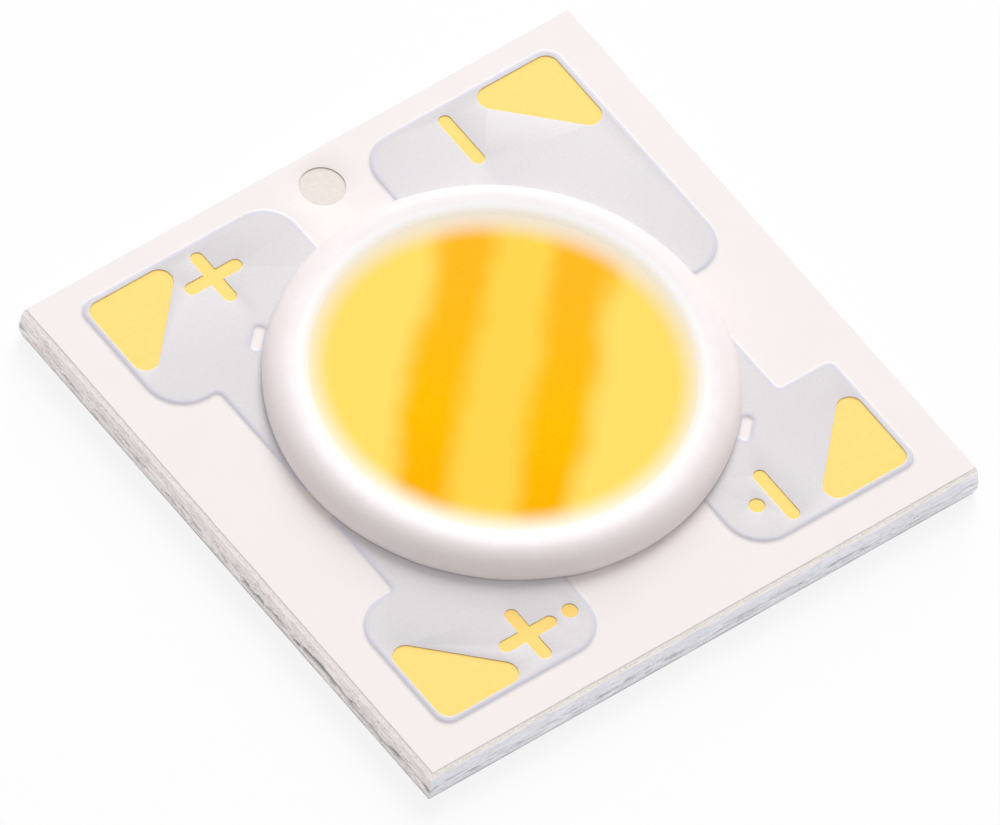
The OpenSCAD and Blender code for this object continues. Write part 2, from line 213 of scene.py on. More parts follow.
world = bpy.data.worlds.new("light_tent")
world.use_nodes = True
bpy.context.scene.world = world
tree = world.node_tree
tree.nodes.clear()
tent = new_node(tree, "ShaderNodeBackground", "even light")
tent.inputs["Color"].default_value = TENT_COLOUR
tent.inputs["Strength"].default_value = AMBIENT
plain = new_node(tree, "ShaderNodeBackground", "white ground")
plain.inputs["Color"].default_value = PLAIN_WHITE
plain.inputs["Strength"].default_value = 1.0
pick = new_node(tree, "ShaderNodeMixShader")
world_out = new_node(tree, "ShaderNodeOutputWorld")
tree.links.new(background_rays(tree), pick.inputs["Fac"])
tree.links.new(tent.outputs[0], pick.inputs[1])
tree.links.new(plain.outputs[0], pick.inputs[2])
tree.links.new(pick.outputs[0], world_out.inputs["Surface"])


def area_lamp(name, azimuth, elevation, distance, size, watts):
    """A round soft lamp that looks at the board from a direction given in degrees."""
    data = bpy.data.lights.new(name, "AREA")
    data.shape = "DISK"
    data.size = size
    data.energy = watts
    lamp = bpy.data.objects.new(name, data)
    pose = (Matrix.Rotation(radians(azimuth), 4, "Z")
            @ Matrix.Rotation(radians(90 - elevation), 4, "X"))
    lamp.matrix_world = Matrix.Translation(pose @ Vector((0, 0, distance))) @ pose
    bpy.context.scene.collection.objects.link(lamp)
    return lamp


key = area_lamp("key_lamp", KEY_AZIMUTH, KEY_ELEVATION, KEY_DISTANCE, KEY_SIZE, KEY_WATTS)
key.visible_glossy = False
area_lamp("rim_lamp", RIM_AZIMUTH, RIM_ELEVATION, KEY_DISTANCE, RIM_SIZE, RIM_WATTS)

floor_mesh = bpy.data.meshes.new("floor")
floor_corners = [(-FLOOR_HALF, -FLOOR_HALF, 0), (FLOOR_HALF, -FLOOR_HALF, 0),
                 (FLOOR_HALF, FLOOR_HALF, 0), (-FLOOR_HALF, FLOOR_HALF, 0)]
floor_mesh.from_pydata(floor_corners, [], [(0, 1, 2, 3)])
floor = bpy.data.objects.new("floor", floor_mesh)
floor.location.z = cad_box[0].z - FLOOR_GAP_MM * MM
bpy.context.scene.collection.objects.link(floor)
floor_paint = bpy.data.materials.new("floor_paint")
floor_paint.use_nodes = True
tree = floor_paint.node_tree
tree.nodes.clear()
matt = new_node(tree, "ShaderNodeBsdfDiffuse")
matt.inputs["Color"].default_value = (FLOOR_WHITE, FLOOR_WHITE, FLOOR_WHITE, 1)
veil = new_node(tree, "ShaderNodeEmission")
veil_share = new_node(tree, "ShaderNodeMath", operation="MULTIPLY")
veil_share.inputs[1].default_value = FLOOR_VEIL
veiled = new_node(tree, "ShaderNodeMixShader")
floor_out = new_node(tree, "ShaderNodeOutputMaterial")
tree.links.new(background_rays(tree), veil_share.inputs[0])
tree.links.new(veil_share.outputs[0], veiled.inputs["Fac"])
tree.links.new(matt.outputs[0], veiled.inputs[1])
tree.links.new(veil.outputs[0], veiled.inputs[2])
tree.links.new(veiled.outputs[0], floor_out.inputs["Surface"])
floor_mesh.materials.append(floor_paint)

scene = bpy.context.scene
scene.view_settings.view_transform = "Standard"
print("lamp, world and floor are in place")

# %% [markdown]
# ## Shader groups that several finishes share
#
# Two effects come back in more than one material. "Position in mm" gives a point on the
# object in millimetres. "Fine grain" is the speckle that ink, resin and metal show under a
# close lens, and it can be stretched into streaks. Each is built once as a node group with
# named sockets and used with other values in each material. A third group, for the phosphor
# stripes, follows further on, beside the stripes themselves.

# %% Shader groups


def new_group(name, inputs, outputs):
    """A shader node group with (kind, name, default) inputs and (kind, name) outputs."""
    group = bpy.data.node_groups.new(name, "ShaderNodeTree")
    kinds = {"value": "NodeSocketFloat", "colour": "NodeSocketColor", "vector": "NodeSocketVector"}
    for kind, label, default in inputs:
        made = group.interface.new_socket(label, in_out="INPUT", socket_type=kinds[kind])
        made.default_value = default
    for kind, label in outputs:
        group.interface.new_socket(label, in_out="OUTPUT", socket_type=kinds[kind])
    entry = group.nodes.new("NodeGroupInput")
    leave = group.nodes.new("NodeGroupOutput")
    return group, entry, leave


def maths(tree, operation, first, second=None, third=None):
    """A Math node fed by sockets or numbers; gives its output socket."""
    made = new_node(tree, "ShaderNodeMath", operation=operation)
    for socket, value in zip(made.inputs, (first, second, third)):
        if value is None:
            continue
        if isinstance(value, (int, float)):
            socket.default_value = value
        else:
            tree.links.new(value, socket)
    return made.outputs[0]


def step_between(tree, value, low, high):
    """An S-shaped step of a value from 0 at low to 1 at high."""
    made = new_node(tree, "ShaderNodeMapRange", interpolation_type="SMOOTHSTEP")
    made.inputs["From Min"].default_value = low
    made.inputs["From Max"].default_value = high
    tree.links.new(value, made.inputs["Value"])
    return made.outputs["Result"]


def mix_colours(tree, amount, first, second):
    """Mixes two colours (sockets or tuples) by an amount (a socket or a number)."""
    made = new_node(tree, "ShaderNodeMix", data_type="RGBA")
    for socket, value in ((made.inputs["Factor"], amount), (made.inputs[6], first),
                          (made.inputs[7], second)):
        if isinstance(value, (int, float)):
            socket.default_value = value
        elif isinstance(value, tuple):
            socket.default_value = (*value[:3], 1.0)
        else:
            tree.links.new(value, socket)
    return made.outputs[2]


def colour(red, green, blue):
    """A colour given as on a colour card, from 0 to 255, as the linear values of a shader."""
    def linear(level):
        share = level / 255
        return share / 12.92 if share <= 0.04045 else ((share + 0.055) / 1.055) ** 2.4
    return (linear(red), linear(green), linear(blue))


position_group, entry, leave = new_group("Position in mm", [], [("vector", "Position")])
tree = position_group
here = new_node(tree, "ShaderNodeTexCoord")
in_mm = new_node(tree, "ShaderNodeVectorMath", operation="SCALE")
in_mm.inputs["Scale"].default_value = 1 / MM
tree.links.new(here.outputs["Object"], in_mm.inputs[0])
tree.links.new(in_mm.outputs[0], leave.inputs["Position"])

grain_group, entry, leave = new_group(
    "Fine grain",
    [("value", "Scale", 10.0), ("value", "Detail", 3.0), ("vector", "Stretch", (1, 1, 1))],
    [("value", "Grain"), ("value", "Height")])
tree = grain_group
spot = new_node(tree, "ShaderNodeGroup")
spot.node_tree = position_group
stretched = new_node(tree, "ShaderNodeVectorMath", operation="MULTIPLY")
tree.links.new(spot.outputs["Position"], stretched.inputs[0])
tree.links.new(entry.outputs["Stretch"], stretched.inputs[1])
cloud = new_node(tree, "ShaderNodeTexNoise")
tree.links.new(stretched.outputs[0], cloud.inputs["Vector"])
tree.links.new(entry.outputs["Scale"], cloud.inputs["Scale"])
tree.links.new(entry.outputs["Detail"], cloud.inputs["Detail"])
tree.links.new(step_between(tree, cloud.outputs["Fac"], 0.3, 0.7), leave.inputs["Grain"])
tree.links.new(cloud.outputs["Fac"], leave.inputs["Height"])
print("shader groups:", [g.name for g in bpy.data.node_groups])

# %% Helpers for materials


def new_material(name, **plain_inputs):
    """A material with one Principled shader; uniform values go straight on its sockets."""
    material = bpy.data.materials.new(name)
    material.use_nodes = True
    shader = material.node_tree.nodes["Principled BSDF"]
    for label, value in plain_inputs.items():
        shader.inputs[label.replace("_", " ")].default_value = value
    return material, material.node_tree, shader


def add_grain(tree, scale, detail=3.0, stretch=(1, 1, 1)):
    """Places the shared grain group; gives its node."""
    made = new_node(tree, "ShaderNodeGroup", "fine grain")
    made.node_tree = grain_group
    made.inputs["Scale"].default_value = scale
    made.inputs["Detail"].default_value = detail
    made.inputs["Stretch"].default_value = stretch
    return made


def add_position(tree):
    """Places the shared position group; gives its node."""
    made = new_node(tree, "ShaderNodeGroup", "position")
    made.node_tree = position_group
    return made


def add_axes(tree):
    """Position in mm, taken apart; gives the X, Y and Z outputs."""
    parts = new_node(tree, "ShaderNodeSeparateXYZ")
    tree.links.new(add_position(tree).outputs["Position"], parts.inputs[0])
    return parts.outputs["X"], parts.outputs["Y"], parts.outputs["Z"]


def share_of(tree, value, share):
    """A mask turned down to a share of itself."""
    return maths(tree, "MULTIPLY", value, share)


def add_bump(tree, shader, height, depth_mm):
    """Feeds a height from 0 to 1 into the shader's normal as a relief of that depth."""
    bump = new_node(tree, "ShaderNodeBump")
    bump.inputs["Distance"].default_value = depth_mm * MM
    tree.links.new(height, bump.inputs["Height"])
    tree.links.new(bump.outputs["Normal"], shader.inputs["Normal"])


def mask_value(tree, name):
    """Reads one of the point masks that were stored while the mesh was made."""
    made = new_node(tree, "ShaderNodeAttribute", attribute_name=name)
    return made.outputs["Fac"]


def colour_by(tree, value, stops):
    """A colour ramp through (position, colour) stops, with soft steps between them."""
    made = new_node(tree, "ShaderNodeValToRGB")
    ramp = made.color_ramp
    ramp.interpolation = "EASE"
    while len(ramp.elements) < len(stops):
        ramp.elements.new(0.5)
    for element, (place, shade) in zip(ramp.elements, stops):
        element.position = place
        element.color = (*shade, 1.0)
    tree.links.new(value, made.inputs["Fac"])
    return made.outputs["Color"]


def repaint(node, material):
    """Gives a carried-over CAD node its finish."""
    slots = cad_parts[node].data.materials
    slots.clear()
    slots.append(material)


# %% [markdown]
# ## Outlines from the CAD pieces
#
# The white mask follows the copper under it and is open over the gold pads, so its outlines
# are the copper's and the pads' own. They are read from the CAD meshes: the border of a
# piece's top face is every edge that only one top triangle uses. Reading them keeps the
# mask, the copper and the pads in step, whatever size they have.

# %% Read the border of a CAD piece's top face


def top_loops(node):
    """Closed outlines of a node's highest flat face, in mm, with the piece on their left."""
    flat_within = 0.0005
    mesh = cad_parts[node].data
    spots = [(v.co.x / MM, v.co.y / MM, v.co.z / MM) for v in mesh.vertices]
    top = max(p[2] for p in spots)
    keys = [(round(p[0], 4), round(p[1], 4)) for p in spots]
    edges = set()
    for face in mesh.polygons:
        ring = list(face.vertices)
        if all(spots[i][2] > top - flat_within for i in ring):
            edges.update((keys[a], keys[b]) for a, b in zip(ring, ring[1:] + ring[:1])
                         if keys[a] != keys[b])
    following = {a: b for a, b in edges if (b, a) not in edges}
    loops = []
    while following:
        start, here = following.popitem()
        loop = [start]
        while here != start:
            loop.append(here)
            here = following.pop(here)
        loops.append(np.array(loop))
    return loops


CHANNELS = ("1", "2")
POLES = ("plus", "minus")
quarters = [f"{channel}_{pole}" for channel in CHANNELS for pole in POLES]
trace_loops = [loop for q in quarters for loop in top_loops("trace_" + q)]
pad_loops = [loop for q in quarters for loop in top_loops("pad_" + q)]
mark_loops = [loop for q in quarters for loop in top_loops("mark_" + q)]
print("outlines:", len(trace_loops), "of traces,", len(pad_loops), "of pads,",
      len(mark_loops), "of marks")

# %% [markdown]
# ## Distance to an outline
#
# How high the mask stands at a point, and how grey it looks there, depends only on how far
# the point is from the copper's edge. So one function measures that distance for many points
# at once: negative inside the outline, positive outside. Another draws a copy of an outline
# a little further out or in.

# %% Distance and offset of outlines


def signed_distance(points, loops):
    """Distance of each point to the nearest outline, negative inside; arrays in mm."""
    points = np.asarray(points, float)
    nearest = np.full(len(points), 1e9)
    inside = np.zeros(len(points), bool)
    for loop in loops:
        for a, b in zip(loop, np.roll(loop, -1, axis=0)):
            along = b - a
            share = np.clip(((points - a) @ along) / max(along @ along, 1e-12), 0, 1)
            gap = points - a - share[:, None] * along
            nearest = np.minimum(nearest, np.einsum("ij,ij->i", gap, gap))
            if a[1] != b[1]:
                crosses = (a[1] > points[:, 1]) != (b[1] > points[:, 1])
                cut = a[0] + (points[:, 1] - a[1]) * along[0] / along[1]
                inside ^= crosses & (points[:, 0] < cut)
    return np.where(inside, -1, 1) * np.sqrt(nearest)


def moved_out(loop, distance):
    """The outline drawn that far outside itself; negative distances go inside."""
    before = loop - np.roll(loop, 1, axis=0)
    after = np.roll(loop, -1, axis=0) - loop
    before /= np.linalg.norm(before, axis=1)[:, None]
    after /= np.linalg.norm(after, axis=1)[:, None]
    side_before = np.stack([before[:, 1], -before[:, 0]], 1)
    side_after = np.stack([after[:, 1], -after[:, 0]], 1)
    spread = 1 + np.einsum("ij,ij->i", side_before, side_after)
    return loop + distance * (side_before + side_after) / np.maximum(spread, 0.5)[:, None]


# %% [markdown]
# ## The white solder mask
#
# On the real board the mask is a printed coat about 0.04 mm thick. It steps up softly over
# the 0.05 mm copper, is a little thinner at that step, and ends in small rounded lips where
# it is open over the gold. A flat sheet cannot show that and a fine grid would need far too
# many faces. So the sheet is triangulated only through a few copies of each outline, and the
# height of every point comes from its distance to the copper and to the openings.

# %% Sizes of the mask's relief
DAM_HIDES_R = 5.25
WINDOW_R = 4.40
STEP_LEVELS = (0.12, 0.07, 0.045, 0.018, -0.012, -0.042, -0.070, -0.11, -0.16)
STEP_OUT = 0.045
STEP_IN = -0.070
LIP_W = 0.03
LIP_LEVELS = (0.4 * LIP_W, LIP_W)
LIP_DROP = 0.010
EDGE_WOBBLE = 0.016
EDGE_POINTS = 150
CIRCLE_POINTS = 96
BORDER_INSET = 0.08
WALL_SLANT = 0.08 / 0.30
SPOT_Y = 6.90
SPOT_R = 0.555
top_half = half_side - BORDER_INSET
gap_out, gap_in = STEP_LEVELS[0], STEP_LEVELS[-1]


def circle_loop(centre_x, centre_y, radius, count=CIRCLE_POINTS):
    """A circle as an outline that runs anticlockwise."""
    angles = np.arange(count) * 2 * pi / count
    return np.stack([centre_x + radius * np.cos(angles), centre_y + radius * np.sin(angles)], 1)


def square_loop(half, count, wobble):
    """A square outline whose broken edge wanders inwards by up to wobble."""
    points = []
    for side in range(4):
        for i in range(count):
            along = half * (2 * i / count - 1)
            x, y = [(along, -half), (half, along), (-along, half), (-half, -along)][side]
            nick = wobble * (1 + grain(x, y, 3.0, 1.3, 4)) / 2
            points.append((x * (half - nick) / half, y * (half - nick) / half))
    return np.array(points)


def bare_height(points):
    """Height of the mask's top over the bare board and the copper, in mm."""
    over = 1 - smooth(STEP_IN, STEP_OUT, signed_distance(points, trace_loops))
    return bare_top + (raised_top - bare_top) * over


openings = pad_loops + mark_loops + [circle_loop(0, SPOT_Y, SPOT_R)]
window = circle_loop(0, 0, WINDOW_R)
border = square_loop(top_half, EDGE_POINTS, EDGE_WOBBLE)

# %% Triangulate the mask through its outlines
lines = [border, window] + openings
lines += [moved_out(loop, level) for loop in openings for level in LIP_LEVELS]
lines += [moved_out(loop, level) for loop in trace_loops for level in STEP_LEVELS]
plan_points, plan_edges = [], []
for line in lines:
    first = len(plan_points)
    count = len(line)
    plan_points += [Vector(p) for p in line]
    for i in range(count):
        a, b = line[i], line[(i + 1) % count]
        hidden = max(hypot(*a), hypot(*b)) < DAM_HIDES_R and line is not window
        if not hidden:
            plan_edges.append((first + i, first + (i + 1) % count))
used = sorted({i for e in plan_edges for i in e})
renumber = {old: new for new, old in enumerate(used)}
flat_points, _, flat_faces, *_ = delaunay_2d_cdt(
    [plan_points[i] for i in used], [(renumber[a], renumber[b]) for a, b in plan_edges],
    [], 0, 1e-4)
flat = np.array([tuple(p) for p in flat_points])
middles = np.array([flat[list(f)].mean(0) for f in flat_faces])
keep = ((signed_distance(middles, [border]) < 0) & (signed_distance(middles, [window]) > 0)
        & (signed_distance(middles, openings) > 0))
flat_faces = [tuple(f) for f, kept in zip(flat_faces, keep) if kept]
print(f"mask plan: {len(flat)} points, {len(flat_faces)} triangles")

# %% Give the plan its height, walls and underside
copper_gap = signed_distance(flat, trace_loops)
opening_gap = np.abs(signed_distance(flat, openings))
top_z = bare_height(flat)
lip = 1 - smooth(0.0, LIP_W, opening_gap)
top_z = top_z - LIP_DROP * lip
over_copper = copper_gap < 0.0
under_z = np.where(over_copper, copper_top, dielectric_top)
directed = {(f[i], f[(i + 1) % 3]) for f in flat_faces for i in range(3)}
rims = [(a, b) for a, b in directed if (b, a) not in directed]
rim_points = sorted({i for e in rims for i in e})
count = len(flat)
points = [(x, y, z) for (x, y), z in zip(flat, top_z)]
clipped_gap = np.clip(copper_gap, gap_in, gap_out)
masks = {"copper_gap": list(clipped_gap), "lip": list(lip), "wall": [0.0] * count}
wall_top, wall_low = {}, {}
grow = 1 + WALL_SLANT * mask_t / top_half
for i in rim_points:
    x, y = flat[i]
    on_border = max(abs(x), abs(y)) > top_half - 2 * EDGE_WOBBLE
    spread = grow if on_border else 1.0
    wall_top[i] = len(points)
    points.append((x, y, top_z[i]))
    wall_low[i] = len(points)
    points.append((x * spread, y * spread, under_z[i]))
    for _ in range(2):
        masks["copper_gap"].append(clipped_gap[i])
        masks["lip"].append(0.0)
        # Opening walls get 1 in the "wall" mask, which the mask's material uses for a painted shade.
        masks["wall"].append(0.0 if on_border else 1.0)
faces = list(flat_faces)
faces += [(wall_top[b], wall_top[a], wall_low[a], wall_low[b]) for a, b in rims]
under_index = {}
for i in sorted({i for f in flat_faces for i in f}):
    under_index[i] = len(points)
    low = wall_low.get(i)
    points.append(points[low] if low else (flat[i][0], flat[i][1], under_z[i]))
    masks["copper_gap"].append(gap_out)
    masks["lip"].append(0.0)
    masks["wall"].append(0.0)
faces += [tuple(under_index[i] for i in reversed(f)) for f in flat_faces]
mask_coat = make_piece("mask_coat", points, faces, ["solder_mask"], masks, 50)

# %% [markdown]
# ### Finish of the mask
#
# White ink is never pure white. Over bare laminate it is warm, and over copper it turns a
# cool grey because the metal swallows light under it. At the copper's shoulder the ink is
# thinnest, so a slightly bluer band runs along the step. A colour ramp driven by the stored
# distance to the copper's edge gives all of that with one material.

# %% Mask material
WHITE_MASK = colour(246, 239, 237)
WHITE_EDGE = colour(243, 237, 236)
GREY_MASK = colour(226, 223, 226)
GREY_BAND = colour(217, 216, 226)
SPECKLE_GREY = colour(214, 210, 212)
PATCH_GREY = colour(236, 228, 228)
LIP_HIGHLIGHT = colour(252, 249, 246)
WALL_SHADE_BROWN = colour(128, 112, 72)

mask_paint, tree, shader = new_material("satin_white_mask", Roughness=0.5, Specular_IOR_Level=0.3)
gap = mask_value(tree, "copper_gap")
place = maths(tree, "DIVIDE", maths(tree, "SUBTRACT", gap, gap_in), gap_out - gap_in)
ink = colour_by(tree, place, [(0.0, GREY_MASK), (0.30, GREY_BAND), (0.50, GREY_BAND),
                              (0.63, WHITE_EDGE), (0.72, WHITE_EDGE), (0.88, WHITE_MASK)])
speckle = add_grain(tree, 16.0, 4.0)
on_copper = maths(tree, "SUBTRACT", 1.0, step_between(tree, gap, -0.08, 0.0))
speckle_share = maths(tree, "MULTIPLY", speckle.outputs["Grain"],
                      maths(tree, "MULTIPLY_ADD", on_copper, 0.24, 0.06))
patch = add_grain(tree, 0.9, 2.0)
ink = mix_colours(tree, speckle_share, ink, SPECKLE_GREY)
ink = mix_colours(tree, share_of(tree, patch.outputs["Grain"], 0.10), ink, PATCH_GREY)
# Painted highlight: the rounded lips round the openings are lightened, as if they caught the light.
ink = mix_colours(tree, share_of(tree, mask_value(tree, "lip"), 0.3), ink, LIP_HIGHLIGHT)
# Painted shade: the walls of the openings over the gold are darkened brown, as the far walls lie in
# shadow.
ink = mix_colours(tree, share_of(tree, mask_value(tree, "wall"), 0.55), ink, WALL_SHADE_BROWN)
tree.links.new(ink, shader.inputs["Base Color"])
add_bump(tree, shader, speckle.outputs["Height"], 0.0018)
mask_coat.data.materials.append(mask_paint)

# %% [markdown]
# ## The scored and broken board edge
#
# Boards like this are made many at a time on one sheet. A V-shaped cutter scores the sheet
# from both faces, and the boards are then snapped apart, which leaves smooth slanted cuts
# above and below and a torn strip of metal between them. The edge is made as rings of points
# round the board, one ring per height, and noise pushes the torn strip inwards.

# %% Sizes of the edge
EDGE_COLUMNS = 300
BACK_INSET = 0.06
RING_Z = (0.0, 0.012, 0.03, 0.06, 0.09, 0.12, 0.15, 0.18, 0.205, 0.23, 0.25, 0.27, 0.29, 0.31,
          0.33, 0.35, 0.37, 0.39, 0.41, 0.43, 0.45, 0.475, 0.50, 0.53, 0.57, 0.61, 0.66, 0.71,
          0.76, 0.80, 0.83, 0.86)
TORN_LOW = 0.22
TORN_HIGH = 0.47
TORN_DEPTH = 0.075
SCRAPE_DEPTH = 0.016
CORNER_CALM = 0.35
FLUSH_INSET = 0.004
UPPER_SCORE_Z = 0.70
UPPER_INSET = 0.022
TOP_INSET = 0.045
TORN_DRIFT = 0.035
GASH_LOW = -0.22
GASH_HIGH = 0.30
ALONG_ROUGH = 0.55


def edge_inset(z):
    """How far the smooth edge lies inside the board's side at a height."""
    lower = np.interp(z, [0.0, TORN_LOW], [BACK_INSET, FLUSH_INSET])
    upper = np.interp(z, [TORN_HIGH, UPPER_SCORE_Z, base_top], [FLUSH_INSET, UPPER_INSET, TOP_INSET])
    return lower if z < TORN_LOW else upper


def torn_amount(x, y, z):
    """How deep the tear is, from 0 to 1, and whether the point is in the torn strip."""
    drift = TORN_DRIFT * grain(x, y, 5.0, 0.7, 2)
    zone = float(smooth(TORN_LOW - 0.02, TORN_LOW + 0.03, z + drift)
                 * (1 - smooth(TORN_HIGH - 0.05, TORN_HIGH + 0.02, z + drift)))
    gash = grain(0.55 * x, 0.55 * y, 4.4 * z, 2.6, 4)
    rough = 1.0 if abs(x) > abs(y) else ALONG_ROUGH
    return rough * zone * float(smooth(GASH_LOW, GASH_HIGH, gash)), zone


def scrape_amount(x, y, z):
    """Long shallow scratches that the cutter left, from 0 to 1."""
    return float(smooth(-0.3, 0.6, grain(0.35 * x, 0.35 * y, 9.0 * z, 3.0, 3)))


# %% Build the board from rings
points, tears, zones = [], [], []
side_dirs = [((1, 0), (0, -1)), ((0, 1), (1, 0)), ((-1, 0), (0, 1)), ((0, -1), (-1, 0))]
for z in RING_Z:
    half = half_side - edge_inset(z)
    flat_ring = z in (RING_Z[0], RING_Z[-1])
    for (ax, ay), (nx, ny) in side_dirs:
        for i in range(EDGE_COLUMNS):
            t = 2 * i / EDGE_COLUMNS - 1
            x = half * (t * ax + nx)
            y = half * (t * ay + ny)
            tear, zone = torn_amount(x, y, z)
            scrape = scrape_amount(x, y, z)
            calm = float(smooth(0.0, CORNER_CALM, half * (1 - abs(t))))
            depth = 0.0 if flat_ring else calm * (TORN_DEPTH * tear + SCRAPE_DEPTH * scrape)
            points.append((x - depth * nx, y - depth * ny, z))
            tears.append(tear)
            zones.append(zone)
ring = 4 * EDGE_COLUMNS
faces = []
for level in range(len(RING_Z) - 1):
    for i in range(ring):
        j = (i + 1) % ring
        a, b = level * ring + i, level * ring + j
        faces.append((a, b, b + ring, a + ring))
bottom_middle = len(points)
points.append((0, 0, RING_Z[0]))
top_middle = len(points)
points.append((0, 0, RING_Z[-1]))
tears += [0.0, 0.0]
zones += [0.0, 0.0]
last = (len(RING_Z) - 1) * ring
faces += [((i + 1) % ring, i, bottom_middle) for i in range(ring)]
faces += [(last + i, last + (i + 1) % ring, top_middle) for i in range(ring)]
scored_plate = make_piece("scored_plate", points, faces, ["aluminium_base"],
                          {"tear": tears, "zone": zones}, 55)

# %% Aluminium material
METAL_ACROSS = colour(246, 238, 235)
METAL_ALONG = colour(238, 238, 246)
DULL_ACROSS = colour(214, 204, 200)
DULL_ALONG = colour(216, 215, 224)
METAL_FLECK = colour(255, 252, 252)
METAL_TORN = colour(248, 248, 252)
METAL_SHADE = colour(132, 134, 132)
SCRATCH_BROWN = colour(140, 126, 118)
SMEAR = colour(252, 246, 242)

metal_paint, tree, shader = new_material("scored_aluminium", Metallic=0.8, Roughness=0.5)
streak = add_grain(tree, 3.0, 4.0, (0.6, 0.6, 5.0))
flecks = add_grain(tree, 8.0, 5.0, (0.9, 0.9, 2.0))
x_mm, y_mm, z_mm = add_axes(tree)
across_grain = maths(tree, "GREATER_THAN", maths(tree, "ABSOLUTE", x_mm),
                     maths(tree, "ABSOLUTE", y_mm))
cut = mix_colours(tree, across_grain, METAL_ALONG, METAL_ACROSS)
dull = mix_colours(tree, across_grain, DULL_ALONG, DULL_ACROSS)
metal = mix_colours(tree, share_of(tree, streak.outputs["Grain"], 0.6), cut, dull)
metal = mix_colours(tree, share_of(tree, flecks.outputs["Grain"], 0.35), metal, METAL_FLECK)
off_line = maths(tree, "ABSOLUTE", maths(tree, "SUBTRACT", streak.outputs["Height"], 0.5))
scratch = maths(tree, "SUBTRACT", 1.0, step_between(tree, off_line, 0.004, 0.022))
rough_share = maths(tree, "MULTIPLY_ADD", across_grain, 0.35, 0.22)
metal = mix_colours(tree, maths(tree, "MULTIPLY", scratch, rough_share), metal, SCRATCH_BROWN)
metal = mix_colours(tree, share_of(tree, mask_value(tree, "zone"), 0.25), metal, METAL_TORN)
# Painted shade: the deeper the tear, the darker the metal, as in the shade of the gashes.
metal = mix_colours(tree, share_of(tree, mask_value(tree, "tear"), 0.8), metal, METAL_SHADE)
wander = share_of(tree, streak.outputs["Height"], 0.10)
laminate_line = maths(tree, "ADD", z_mm, wander)
smear = step_between(tree, laminate_line, 0.82, 0.86)
metal = mix_colours(tree, smear, metal, SMEAR)
# Painted shade: a dark line along the bottom of the edge stands for the shadow of the lower bevel
# where the board meets the floor.
bottom_shade = maths(tree, "SUBTRACT", 1.0, step_between(tree, z_mm, 0.02, 0.06))
metal = mix_colours(tree, share_of(tree, bottom_shade, 0.7), metal, METAL_SHADE)
tree.links.new(metal, shader.inputs["Base Color"])
add_bump(tree, shader, flecks.outputs["Height"], 0.012)
scored_plate.data.materials.append(metal_paint)

# %% [markdown]
# ## The dam
#
# The dam is a bead of thick white silicone, laid on the board by a needle that travels once
# round a circle. Surface tension rounds its top, its flanks bulge a little over its foot,
# and no bead is perfectly even. Its inner side slumps in a long shallow curve towards the
# fill. Its section is drawn from arcs and carried round the circle with slow, small changes
# of radius, and its foot follows the step of the mask under it.

# %% Sizes of the dam
DAM_R = 4.98
DAM_W = 1.14
DAM_H = box_mm("dam_ring")[1].z - bare_top
FLANK_R = 0.36
FLANK_H = 0.22
DAM_STEPS = 384
CREST_STEPS = 26
SLUMP_W = 0.72
SLUMP_CURVE = 0.40
CONTACT_X = -0.50
FLANK_STEPS = 12
WANDER_R = 0.010
WANDER_H = 0.006
WANDER_FOOT = 0.012
FOOT_H = 0.16
FOOT_R = 5.47
SEAT = 0.004

flank_x = DAM_W / 2 - FLANK_R
rise = DAM_H - FLANK_H
crest_r = (rise * rise + flank_x * flank_x - FLANK_R * FLANK_R) / (2 * (rise - FLANK_R))
crest_z = DAM_H - crest_r


def dam_section():
    """The bead's section from its outer foot over the crest and down the slumped inner side."""
    join = atan2(FLANK_H - crest_z, flank_x)
    foot = -acos(sqrt(1 - (FLANK_H / FLANK_R) ** 2))
    outer = [(flank_x + FLANK_R * cos(a), FLANK_H + FLANK_R * sin(a))
             for a in np.linspace(foot, join, FLANK_STEPS, endpoint=False)]
    crest = [(crest_r * cos(a), crest_z + crest_r * sin(a))
             for a in np.linspace(join, pi - join, CREST_STEPS)]
    crest = [(x, z) for x, z in crest if x > 0]
    slump = [(-x, DAM_H - SLUMP_CURVE * x * x) for x in np.linspace(0, SLUMP_W, CREST_STEPS)]
    return outer + crest + slump + [(-SLUMP_W, z) for z in np.linspace(0.4, 0.0, 4)]


section = dam_section()
print("dam section:", len(section), "points,", round(section[0][0], 3), "mm to its foot")

# %% Sweep the section round
points, foots, inners, outers = [], [], [], []
turn_angles = [2 * pi * i / DAM_STEPS for i in range(DAM_STEPS)]
outer_foot_z = bare_height(circle_loop(0, 0, FOOT_R, DAM_STEPS)) - SEAT
for angle, foot_z in zip(turn_angles, outer_foot_z):
    cx, cy = cos(angle), sin(angle)
    slow = grain(cx, cy, 1.0, 1.6, 2)
    fine = grain(DAM_R * cx, DAM_R * cy, 7.0, 1.7, 3)
    lift = foot_z - bare_top
    for x, z in section:
        outward = x + WANDER_R * slow * float(smooth(CONTACT_X, 0.0, x)) - SEAT
        near_foot = float(1 - smooth(0.0, FOOT_H, z))
        side = float(smooth(-0.2, 0.3, x))
        outward += WANDER_FOOT * fine * near_foot * side
        z_here = z * (1 + WANDER_H * (slow - 1) / 2)
        z_here += max(lift, 0) * near_foot * side - SEAT / 2
        r = DAM_R + outward
        points.append((r * cx, r * cy, bare_top + z_here))
        foots.append(near_foot * side)
        inners.append(float(1 - smooth(CONTACT_X, -0.04, x)))
        outers.append(float(smooth(-0.18, 0.32, x)))
size = len(section)
faces = []
for i in range(DAM_STEPS):
    j = (i + 1) % DAM_STEPS
    for k in range(size):
        m = (k + 1) % size
        faces.append((i * size + k, j * size + k, j * size + m, i * size + m))
dam_bead = make_piece("dam_bead", points, faces, ["dam_ring"],
                      {"foot": foots, "inner": inners, "outer": outers}, 60)

